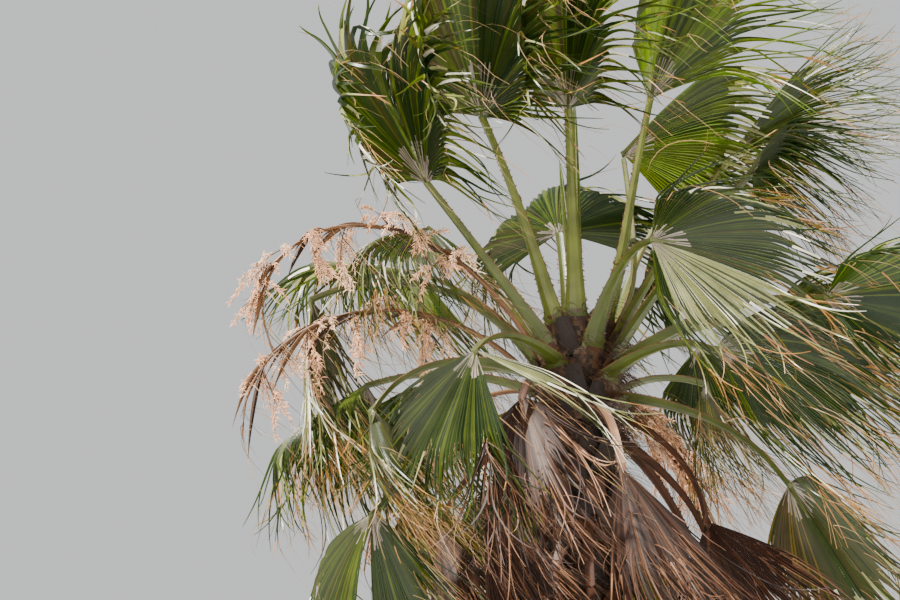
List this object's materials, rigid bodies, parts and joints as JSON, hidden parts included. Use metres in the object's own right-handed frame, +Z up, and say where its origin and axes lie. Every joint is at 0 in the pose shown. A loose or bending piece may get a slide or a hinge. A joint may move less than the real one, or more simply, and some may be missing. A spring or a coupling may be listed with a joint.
{
  "type": "fan palm tree",
  "caption": "Tall fan palm with a slim flared trunk, a round crown of fan-shaped fronds on toothed stalks, a skirt of hanging dead fronds and arching flower stalks.",
  "frame": {"origin": "centre of the flat cut under the trunk at ground level", "axes": "+Z up along the trunk, +Y away from the viewer of the picture, +X to the right in the picture"},
  "size_m": [3.9237, 3.5883, 9.1493],
  "materials": {
    "trunk_bark": "rough, ringed bark with old leaf bases",
    "green_frond": "waxy green leaf with pale lit edges",
    "yellow_frond": "fading yellow-green leaf with tan tips",
    "dead_frond": "dry, dull brown leaf",
    "flower_stalk": "dull pinkish tan flowers on a woody stalk"
  },
  "bodies": {
    "root": {"dead_frond_0_0": "dead_frond", "dead_frond_0_1": "dead_frond", "dead_frond_0_2": "dead_frond", "dead_frond_0_3": "dead_frond", "dead_frond_0_4": "dead_frond", "dead_frond_0_5": "dead_frond", "dead_frond_0_6": "dead_frond", "dead_frond_0_7": "dead_frond", "dead_frond_0_8": "dead_frond", "dead_frond_0_9": "dead_frond", "dead_frond_1_0": "dead_frond", "dead_frond_1_1": "dead_frond", "dead_frond_1_2": "dead_frond", "dead_frond_1_3": "dead_frond", "dead_frond_1_4": "dead_frond", "dead_frond_1_5": "dead_frond", "dead_frond_1_6": "dead_frond", "dead_frond_1_7": "dead_frond", "dead_frond_1_8": "dead_frond", "dead_frond_1_9": "dead_frond", "flower_stalk_back_left": "flower_stalk", "flower_stalk_back_right": "flower_stalk", "flower_stalk_left_high": "flower_stalk", "flower_stalk_left_low": "flower_stalk", "flower_stalk_right": "flower_stalk", "frond_back_0": "green_frond", "frond_back_1": "green_frond", "frond_back_2": "green_frond", "frond_back_3": "green_frond", "frond_back_4": "green_frond", "frond_back_5": "green_frond", "frond_back_6": "green_frond", "frond_back_7": "green_frond", "frond_back_8": "yellow_frond", "frond_back_9": "yellow_frond", "frond_far_right": "green_frond", "frond_front_left": "green_frond", "frond_front_right": "green_frond", "frond_left_high": "green_frond", "frond_left_low": "yellow_frond", "frond_left_middle": "green_frond", "frond_left_out": "yellow_frond", "frond_left_under": "green_frond", "frond_low_right": "green_frond", "frond_right_arch": "green_frond", "frond_right_hanging": "yellow_frond", "frond_right_level": "green_frond", "frond_right_under": "yellow_frond", "frond_swept_right": "green_frond", "frond_top_left": "green_frond", "frond_top_middle": "green_frond", "frond_top_right": "green_frond", "frond_under_right": "green_frond", "spear_leaves": "green_frond", "trunk": "trunk_bark"}
  },
  "joints": []
}
